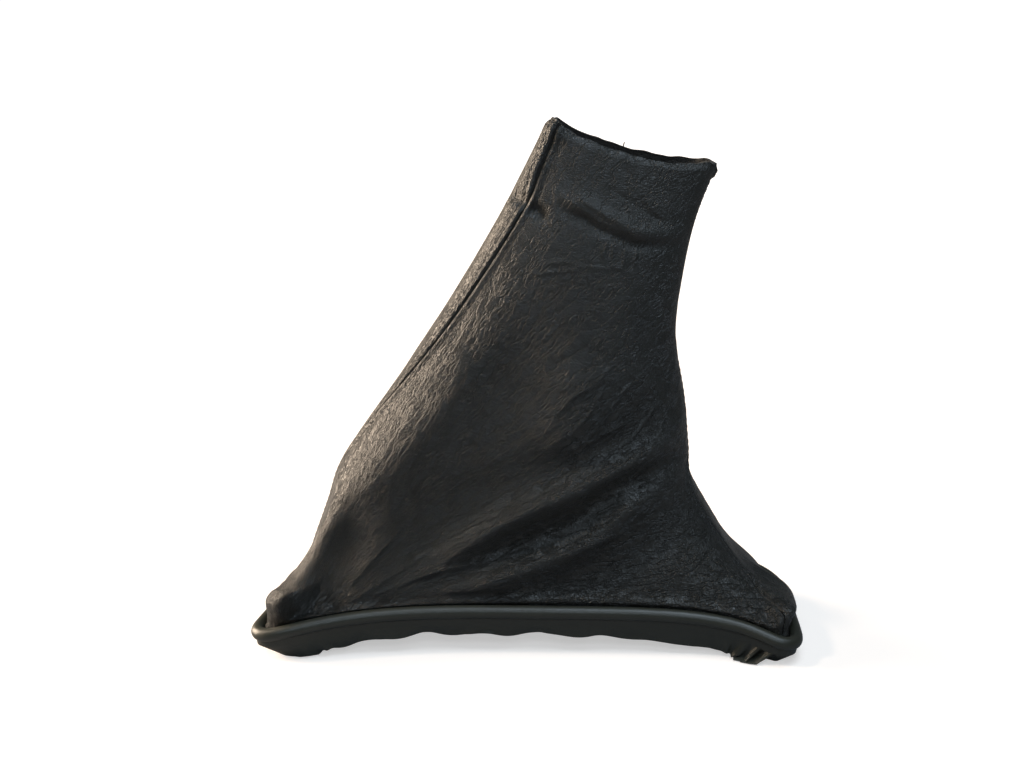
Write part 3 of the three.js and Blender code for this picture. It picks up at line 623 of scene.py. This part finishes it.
# The skirt hangs from a folded top edge below the piping
def makeSkirt(material):
    wall = skirt["wall"]
    stations = hemStations(skirt["stations"])
    lane = 2 * leather["gap"] + 3.5 * wall + piping["slit"]
    foldEnds = -between(piping["legs"], endShare(hemRing.at(stations))) - leather["gap"] - wall
    top = -coverRadius - leather["gap"] + skirt["topRise"]
    fold = np.array([((lane, top), (lane, end + wall), (lane, end)) for end in foldEnds])
    a, b, c = np.moveaxis(alongHem(stations, fold), 1, 0)
    edge, ruffles = skirtEdge(stations, c)
    inward = np.linalg.norm(edge[:, :2] - c[:, :2], axis=1)
    tucked = np.clip((inward - skirt["tuckedFrom"]) / skirt["tuckedReach"], 0, 1)
    edge[:, 2] = np.minimum(edge[:, 2], c[:, 2] - 1) + tucked * wall / 2
    knee = (c + edge) / 2
    knee[:, 2] += (edge[:, 2] - knee[:, 2]) * tucked
    outward = unit(np.cross(hemRing.heading(stations), upward))
    knee += outward * ruffles[:, None]
    flat = skirt["flatShare"]
    chain = np.stack((a, b, c, knee, knee * (1 - flat) + edge * flat, edge), axis=1)
    layers = np.array((2, 2, 1, 1, 1, 1))[None, :, None]
    upSlope = np.concatenate((chain[:, :1] - chain[:, 1:2], chain[:, :-2] - chain[:, 2:],
                              chain[:, -2:-1] - chain[:, -1:]), axis=1)
    around = hemRing.heading(stations)[:, None]
    normals = unit(np.cross(around, upSlope))
    outside = chain + normals * wall / 2
    inside = chain + normals * wall * (0.5 - layers)
    outline = np.concatenate((inside, outside[:, ::-1]), axis=1)
    outline[..., 2] = np.maximum(outline[..., 2], 0)
    return makeMesh("hem_skirt_vinyl", outline, stripFaces(*outline.shape[:2]), material)


# A shader value that Python's own operators work on
class Wire:
    def __init__(self, shader, socket):
        self.shader = shader
        self.socket = socket

    def maths(self, operation, first, second):
        return self.shader.add("ShaderNodeMath", {"operation": operation}, {0: first, 1: second})

    def __add__(self, other):
        return self.maths("ADD", self, other)

    def __radd__(self, other):
        return self.maths("ADD", other, self)

    def __sub__(self, other):
        return self.maths("SUBTRACT", self, other)

    def __rsub__(self, other):
        return self.maths("SUBTRACT", other, self)

    def __mul__(self, other):
        return self.maths("MULTIPLY", self, other)

    def __rmul__(self, other):
        return self.maths("MULTIPLY", other, self)

    def __truediv__(self, other):
        return self.maths("DIVIDE", self, other)

    def __rtruediv__(self, other):
        return self.maths("DIVIDE", other, self)

    def __pow__(self, other):
        return self.maths("POWER", self, other)


# A material whose nodes are added by name
class Shader:
    def __init__(self, name):
        self.material = bpy.data.materials.new(name)
        self.material.use_nodes = True
        self.tree = self.material.node_tree
        self.tree.nodes.clear()

    def add(self, kind, settings=None, inputs=None, output=0):
        node = self.tree.nodes.new(kind)
        for key, value in (settings or {}).items():
            setattr(node, key, value)
        for key, value in (inputs or {}).items():
            if isinstance(value, Wire):
                self.tree.links.new(value.socket, node.inputs[key])
            else:
                node.inputs[key].default_value = value
        return Wire(self, node.outputs[output]) if node.outputs else node

    def noise(self, coordinates, size, detail, roughness=0.55):
        return self.add("ShaderNodeTexNoise", {"noise_dimensions": "3D"}, {
            "Vector": coordinates, "Scale": 1 / size, "Detail": detail, "Roughness": roughness})

    def ramp(self, value, low, high):
        return self.add("ShaderNodeMapRange", {"interpolation_type": "SMOOTHSTEP"},
                        {"Value": value, "From Min": low, "From Max": high, "To Min": 0, "To Max": 1})

    def blend(self, factor, first, second):
        return self.add("ShaderNodeMix", {"data_type": "RGBA"}, {0: factor, 6: first, 7: second}, 2)

    def bump(self, height, depth):
        return self.add("ShaderNodeBump", {}, {
            "Height": height, "Distance": depth * millimetre, "Strength": 1.0})

    def place(self):
        source = self.add("ShaderNodeTexCoord", output="Object")
        return self.add("ShaderNodeVectorMath", {"operation": "MULTIPLY"}, {0: source, 1: (1000,) * 3})

    def split(self, vector):
        node = self.add("ShaderNodeSeparateXYZ", {}, {0: vector}).socket.node
        return [Wire(self, output) for output in node.outputs]

    def finish(self, **inputs):
        named = {key.replace("_", " "): value for key, value in inputs.items()}
        surface = self.add("ShaderNodeBsdfPrincipled", {}, named)
        self.add("ShaderNodeOutputMaterial", {}, {"Surface": surface})
        return self.material


# Fine creases that fan out as the panel's own do, as thin lines between soft ridges
def creaseLines(shader, place, along, across, width, turn=0.0):
    x, y, z = shader.split(place)
    x = x - float(shift[0]) - leather["fanMiddle"][0]
    z = z - leather["fanMiddle"][1]
    distance = (x * x + z * z) ** 0.5
    angle = shader.add("ShaderNodeMath", {"operation": "ARCTAN2"}, {0: z, 1: x}) * leather["fanReach"]
    turned = shader.add("ShaderNodeCombineXYZ", {}, {
        0: (distance * math.cos(turn) - angle * math.sin(turn)) / along,
        1: (angle * math.cos(turn) + distance * math.sin(turn)) / across, 2: y / across / 2})
    waves = shader.noise(turned, 1, 4.0, 0.6)
    fromLine = shader.add("ShaderNodeMath", {"operation": "ABSOLUTE"}, {0: waves - 0.5})
    return 1 - shader.ramp(fromLine, 0.0, width)


# What a user would change about the leather's look. Sizes and depths are in millimetres, and creases are
# (length, spacing, line width, turn).
leatherLook = {
    "dark": (0.011, 0.0118, 0.0098, 1), "worn": (0.019, 0.0185, 0.0155, 1),
    "flesh": (0.06, 0.055, 0.048, 1),
    "tone": 30, "pebble": 0.95, "pebbleDepth": 0.1, "pore": 0.4, "poreDepth": 0.05, "warp": (7, 3.0),
    "creases": (15, 2.5, 0.05), "creaseDepth": 0.5,
    "crossCreases": (6, 2.0, 0.045, 1.1), "crossDepth": 0.16,
    "smoothFrom": (125, 150), "smoothness": 0.6, "roughness": 0.46, "fleshRoughness": 0.35,
}


def leatherMaterial():
    look = leatherLook
    shader = Shader("leather")
    place = shader.place()
    flesh = shader.add("ShaderNodeAttribute", {"attribute_name": "flesh"}, output="Fac")
    warpSize, warpReach = look["warp"]
    warp = shader.add("ShaderNodeTexNoise", {},
                      {"Vector": place, "Scale": 1 / warpSize, "Detail": 2.0}, "Color")
    warped = shader.add("ShaderNodeVectorMath", {"operation": "MULTIPLY_ADD"},
                        {0: warp, 1: (warpReach,) * 3, 2: place})
    cells = shader.add("ShaderNodeTexVoronoi", {"feature": "DISTANCE_TO_EDGE"},
                       {"Vector": warped, "Scale": 1 / look["pebble"]})
    pebbles = shader.ramp(cells, 0.0, 0.25)
    pores = shader.noise(place, look["pore"], 2.0)
    creases = creaseLines(shader, warped, *look["creases"])
    crossCreases = creaseLines(shader, warped, *look["crossCreases"])
    smooth = shader.ramp(shader.split(place)[2], *look["smoothFrom"])
    lines = creases * look["creaseDepth"] + crossCreases * look["crossDepth"]
    height = (pebbles * look["pebbleDepth"] + pores * look["poreDepth"]
              - lines * (1 - smooth * look["smoothness"]))
    tone = shader.noise(place, look["tone"], 3.0)
    colour = shader.blend(flesh, shader.blend(tone, look["dark"], look["worn"]), look["flesh"])
    roughness = look["roughness"] - pebbles * 0.08 + (tone - 0.5) * 0.1 + flesh * look["fleshRoughness"]
    return shader.finish(Base_Color=colour, Roughness=roughness, Normal=shader.bump(height, 1.0),
                         Specular_IOR_Level=0.5)


# What a user would change about the vinyl's look: grain and ripples are (size, depth) in millimetres
vinylLook = {"dark": (0.02, 0.021, 0.015, 1), "pale": (0.031, 0.032, 0.023, 1), "tone": 13,
             "grain": (0.7, 0.04), "ripples": (3.5, 0.1), "roughness": 0.42}


def vinylMaterial():
    look = vinylLook
    shader = Shader("vinyl")
    place = shader.place()
    tone = shader.noise(place, look["tone"], 3.0)
    colour = shader.blend(tone, look["dark"], look["pale"])
    (grain, grainDepth), (ripple, rippleDepth) = look["grain"], look["ripples"]
    height = (shader.noise(place, grain, 3.0) * grainDepth
              + shader.noise(place, ripple, 2.0) * rippleDepth)
    roughness = look["roughness"] + (tone - 0.5) * 0.2
    return shader.finish(Base_Color=colour, Roughness=roughness, Normal=shader.bump(height, 1.0))


# What a user would change about the spun pieces' looks, with sizes and depths in millimetres
fibreLooks = {
    "cord": {"dark": (0.5, 0.46, 0.38, 1), "pale": (0.68, 0.64, 0.56, 1),
             "size": 0.5, "detail": 3.0, "depth": 0.15, "roughness": 0.9},
    "thread": {"dark": (0.012, 0.012, 0.013, 1), "pale": (0.035, 0.034, 0.034, 1),
               "size": 0.18, "detail": 2.0, "depth": 0.05, "roughness": 0.62},
}


def fibreMaterial(name):
    look = fibreLooks[name]
    shader = Shader(name)
    fibres = shader.noise(shader.place(), look["size"], look["detail"])
    return shader.finish(Base_Color=shader.blend(fibres, look["dark"], look["pale"]),
                         Roughness=look["roughness"], Normal=shader.bump(fibres, look["depth"]))


# Geometry Nodes that lay stitches along the edges of a mesh
def stitchTree():
    tree = bpy.data.node_groups.new("stitch_rows", "GeometryNodeTree")
    interface = tree.interface
    interface.new_socket("Geometry", in_out="INPUT", socket_type="NodeSocketGeometry")
    for name in ("Pitch", "Length", "Radius"):
        interface.new_socket(name, in_out="INPUT", socket_type="NodeSocketFloat")
    interface.new_socket("Seed", in_out="INPUT", socket_type="NodeSocketInt")
    interface.new_socket("Material", in_out="INPUT", socket_type="NodeSocketMaterial")
    interface.new_socket("Geometry", in_out="OUTPUT", socket_type="NodeSocketGeometry")

    def add(kind, settings=None, inputs=None):
        node = tree.nodes.new(kind)
        for key, value in (settings or {}).items():
            setattr(node, key, value)
        for key, value in (inputs or {}).items():
            if isinstance(value, bpy.types.NodeSocket):
                tree.links.new(value, node.inputs[key])
            else:
                node.inputs[key].default_value = value
        return node.outputs

    given = add("NodeGroupInput")
    curve = add("GeometryNodeMeshToCurve", None, {"Mesh": given["Geometry"]})
    spaced = add("GeometryNodeResampleCurve", {"mode": "LENGTH"},
                 {"Curve": curve["Curve"], "Length": given["Pitch"]})
    tangent = add("GeometryNodeInputTangent")
    turned = add("FunctionNodeAlignRotationToVector", {"axis": "Z"}, {"Vector": tangent["Tangent"]})
    halfLength = add("ShaderNodeMath", {"operation": "DIVIDE"}, {0: given["Length"], 1: 2.0})
    size = add("ShaderNodeCombineXYZ", None,
               {"X": given["Radius"], "Y": given["Radius"], "Z": halfLength["Value"]})
    ball = add("GeometryNodeMeshUVSphere", None, {"Segments": 8, "Rings": 6, "Radius": 1.0})
    stitch = add("GeometryNodeTransform", None, {"Geometry": ball["Mesh"], "Scale": size["Vector"]})
    varied = add("FunctionNodeRandomValue", {"data_type": "FLOAT"},
                 {"Min": 0.88, "Max": 1.1, "Seed": given["Seed"]})
    placed = add("GeometryNodeInstanceOnPoints", None,
                 {"Points": spaced["Curve"], "Instance": stitch["Geometry"],
                  "Rotation": turned["Rotation"], "Scale": varied[1]})
    smooth = add("GeometryNodeSetShadeSmooth", None, {"Geometry": placed["Instances"]})
    solid = add("GeometryNodeRealizeInstances", None, {"Geometry": smooth["Geometry"]})
    painted = add("GeometryNodeSetMaterial", None,
                  {"Geometry": solid["Geometry"], "Material": given["Material"]})
    add("NodeGroupOutput", None, {"Geometry": painted["Geometry"]})
    return tree


# Stitches along lines of points, in one piece
def makeStitches(name, lines, tree, material):
    points = np.concatenate(lines)
    edges = []
    first = 0
    for line in lines:
        edges += [(first + i, first + i + 1) for i in range(len(line) - 1)]
        first += len(line)
    mesh = bpy.data.meshes.new(name + "_lines")
    mesh.from_pydata((points + shift) * millimetre, edges, [])
    guide = addObject(name + "_lines", mesh)
    modifier = guide.modifiers.new("stitches", "NODES")
    modifier.node_group = tree
    sizes = {"Pitch": stitches["pitch"] * millimetre, "Length": stitches["length"] * millimetre,
             "Radius": stitches["radius"] * millimetre, "Seed": stitches["seed"], "Material": material}
    for socket in tree.interface.items_tree:
        if socket.in_out == "INPUT" and socket.name in sizes:
            modifier[socket.identifier] = sizes[socket.name]
    graph = bpy.context.evaluated_depsgraph_get()
    solid = bpy.data.meshes.new_from_object(guide.evaluated_get(graph))
    bpy.data.objects.remove(guide)
    solid.name = name
    return addObject(name, solid)


# The line of a stitch row on a panel's outer face, beside its first or last edge
def stitchLine(surface, atStart):
    count = grids["seamColumns"] + 2
    part = slice(0, count) if atStart else slice(-1, -count - 1, -1)
    outer, fromSeam = surface["outer"][:, part], surface["fromSeam"][:, part]
    rows = range(grids["hemRows"] + stitches["firstRow"], len(outer) - 1)
    return np.array([[np.interp(leather["stitchOffset"], fromSeam[r], outer[r, :, k]) for k in range(3)]
                     for r in rows])


# Place of the scene's pieces in the frame, from the piping's cover
shift = np.zeros(3)
coverLow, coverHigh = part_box("piping_cover")
coverSamples = 400
stations = hemStations(coverSamples)
ownCover = alongHem(stations, coverOutlines(stations)).reshape(-1, 3)
ownMiddle = (ownCover.min(axis=0) + ownCover.max(axis=0)) / 2
frameMiddle = np.array((coverLow + coverHigh) / 2) / millimetre
shift[:2] = (frameMiddle - ownMiddle)[:2]
print("frame loaded, pieces moved by", shift.round(2))

leatherPaint = leatherMaterial()
vinylPaint = vinylMaterial()
cordPaint = fibreMaterial("cord")
threadPaint = fibreMaterial("thread")
print("materials made")

rightLeather, rightSurface = makePanel("right", rightFolds, rightWrinkles, leatherPaint)
leftLeather, leftSurface = makePanel("left", leftFolds, leftWrinkles, leatherPaint)
print("leather panels made", len(rightLeather.data.polygons), len(leftLeather.data.polygons))

pipingCover = makePiping(vinylPaint)
hemSkirt = makeSkirt(vinylPaint)
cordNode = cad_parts["piping_cord"]
cordNode.data.materials.clear()
cordNode.data.materials.append(cordPaint)
print("piping and skirt made")

tree = stitchTree()
looseEnd = stitches["looseEnd"]
rimPoint = leftSurface["outer"][-1, round(looseEnd["share"] * grids["left"][0])]
threadEnd = rimPoint + np.outer((0, looseEnd["length"]), looseEnd["towards"])
backLines = (stitchLine(rightSurface, True), stitchLine(leftSurface, False))
frontLines = (stitchLine(rightSurface, False), stitchLine(leftSurface, True), threadEnd)
backStitches = makeStitches("back_seam_stitches", backLines, tree, threadPaint)
frontStitches = makeStitches("front_seam_stitches", frontLines, tree, threadPaint)
print("stitches made", len(backStitches.data.polygons), len(frontStitches.data.polygons))

for piece, nodes, slotName in (
        (rightLeather, ("right_panel",), "leather"), (leftLeather, ("left_panel",), "leather"),
        (pipingCover, ("piping_cover",), "vinyl"), (hemSkirt, ("hem_skirt",), "vinyl"),
        (backStitches, (), "leather"), (frontStitches, (), "leather")):
    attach(piece, "root")
    if nodes:
        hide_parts(*nodes)
# What a user would change about the surroundings, in metres
studio = {
    "floorReach": 4.0, "floorSeen": (0.76, 0.67, 0.6, 1), "floorUnseen": (0.3, 0.31, 0.33, 1),
    "glow": (0.25, 0.9), "glowColours": ((0.5, 0.5, 0.5, 1), (1, 1, 1, 1)),
    "room": (0.86, 0.93, 1.0, 1), "roomStrength": 0.06,
}


# The floor looks white to the camera and dims towards the shadow, and throws little light back
def makeFloor():
    reach = studio["floorReach"]
    mesh = bpy.data.meshes.new("floor")
    corners = [(-reach, -reach, 0), (reach, -reach, 0), (reach, reach, 0), (-reach, reach, 0)]
    mesh.from_pydata(corners, [], [(0, 1, 2, 3)])
    floor = addObject("floor", mesh)
    shader = Shader("floor")
    place = shader.add("ShaderNodeTexCoord", output="Object")
    distance = shader.add("ShaderNodeVectorMath", {"operation": "LENGTH"}, {0: place}, "Value")
    glow = shader.blend(shader.ramp(distance, *studio["glow"]), *studio["glowColours"])
    seen = shader.add("ShaderNodeBsdfPrincipled", {}, {
        "Base Color": studio["floorSeen"], "Roughness": 0.9, "Specular IOR Level": 0.1,
        "Emission Color": glow, "Emission Strength": 1.0})
    unseen = shader.add("ShaderNodeBsdfPrincipled", {}, {
        "Base Color": studio["floorUnseen"], "Roughness": 0.9, "Specular IOR Level": 0.1})
    cameraRay = shader.add("ShaderNodeLightPath", output="Is Camera Ray")
    surface = shader.add("ShaderNodeMixShader", {}, {0: cameraRay, 1: unseen, 2: seen})
    shader.add("ShaderNodeOutputMaterial", {}, {"Surface": surface})
    mesh.materials.append(shader.material)


# What a user would change about the lights: place and size in metres, power in watts, and colour
lights = {
    "key": ((-1.0, 0.33, 0.34), (0.65, 0.65), 34, (1.0, 0.81, 0.63)),
    "graze": ((-0.75, -0.06, 1.0), (0.12, 0.12), 3.2, (1.0, 0.84, 0.66)),
    "top": ((0.25, -0.2, 1.2), (0.6, 0.6), 8, (0.72, 0.86, 1.0)),
    "front": ((0.1, -1.0, 0.95), (0.9, 0.35), 4, (0.72, 0.86, 1.0)),
}
lightsAim = (0, 0, 0.08)


def makeLight(name, place, size, energy, colour):
    data = bpy.data.lights.new(name, "AREA")
    data.shape = "RECTANGLE"
    data.size, data.size_y = size
    data.energy = energy
    data.color = colour
    light = addObject(name, data)
    light.location = place
    aim = Vector(lightsAim) - Vector(place)
    light.rotation_euler = aim.to_track_quat("-Z", "Y").to_euler()


def makeWorld():
    world = bpy.data.worlds.new("studio")
    bpy.context.scene.world = world
    world.use_nodes = True
    nodes = world.node_tree.nodes
    links = world.node_tree.links
    nodes.clear()
    path = nodes.new("ShaderNodeLightPath")
    room = nodes.new("ShaderNodeBackground")
    room.inputs["Color"].default_value = studio["room"]
    room.inputs["Strength"].default_value = studio["roomStrength"]
    white = nodes.new("ShaderNodeBackground")
    white.inputs["Color"].default_value = (1, 1, 1, 1)
    white.inputs["Strength"].default_value = 1.0
    mixer = nodes.new("ShaderNodeMixShader")
    output = nodes.new("ShaderNodeOutputWorld")
    links.new(path.outputs["Is Camera Ray"], mixer.inputs["Fac"])
    links.new(room.outputs["Background"], mixer.inputs[1])
    links.new(white.outputs["Background"], mixer.inputs[2])
    links.new(mixer.outputs["Shader"], output.inputs["Surface"])


# What a user would change about the camera: millimetres, degrees, and the photograph's pixels
camera = {"azimuth": 0, "elevation": 20, "distance": 600, "targetHeight": 92, "focal": 55.5,
          "targetPixel": (528, 395), "photoSize": (1024, 768)}


def makeCamera():
    data = bpy.data.cameras.new("camera")
    data.lens = camera["focal"]
    width, height = camera["photoSize"]
    pixelX, pixelY = camera["targetPixel"]
    data.shift_x = (width / 2 - pixelX) / width
    data.shift_y = (pixelY - height / 2) / width
    data.clip_start = 0.01
    azimuth, elevation = math.radians(camera["azimuth"]), math.radians(camera["elevation"])
    target = Vector((shift[0], shift[1], camera["targetHeight"])) * millimetre
    level = math.cos(elevation)
    back = Vector((math.sin(azimuth) * level, -math.cos(azimuth) * level, math.sin(elevation)))
    holder = addObject("camera", data)
    holder.location = target + back * camera["distance"] * millimetre
    holder.rotation_euler = (-back).to_track_quat("-Z", "Y").to_euler()
    bpy.context.scene.camera = holder


makeFloor()
makeWorld()
for name, settings in lights.items():
    makeLight(name, *settings)
makeCamera()
bpy.context.scene.view_settings.view_transform = "Standard"
print("stage, lights and camera made")
